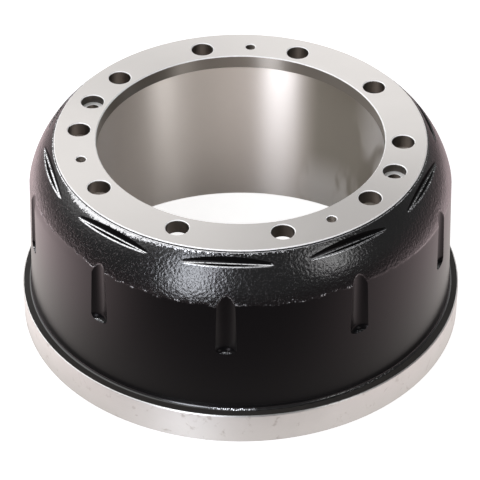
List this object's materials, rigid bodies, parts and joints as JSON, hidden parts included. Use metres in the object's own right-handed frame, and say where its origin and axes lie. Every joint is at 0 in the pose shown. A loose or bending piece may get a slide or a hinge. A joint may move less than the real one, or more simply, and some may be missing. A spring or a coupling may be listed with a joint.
{
  "type": "brake drum",
  "caption": "Cast iron brake drum with a flat bolted mounting flange, a large pilot bore, a rounded shoulder with lens-shaped pockets, upright flutes and a thick turned rim round the open mouth.",
  "frame": {"origin": "centre of the mouth plane, on which the drum stands", "axes": "+Z along the drum's axis, from the mouth towards the mounting face; +X through a wheel stud hole"},
  "size_m": [0.4679, 0.468, 0.227],
  "materials": {
    "drum_casting": "glossy black paint over rough casting; mounting face, bores, braking surface and rim band turned bare"
  },
  "bodies": {
    "root": {"brake_drum": "drum_casting"}
  },
  "joints": []
}
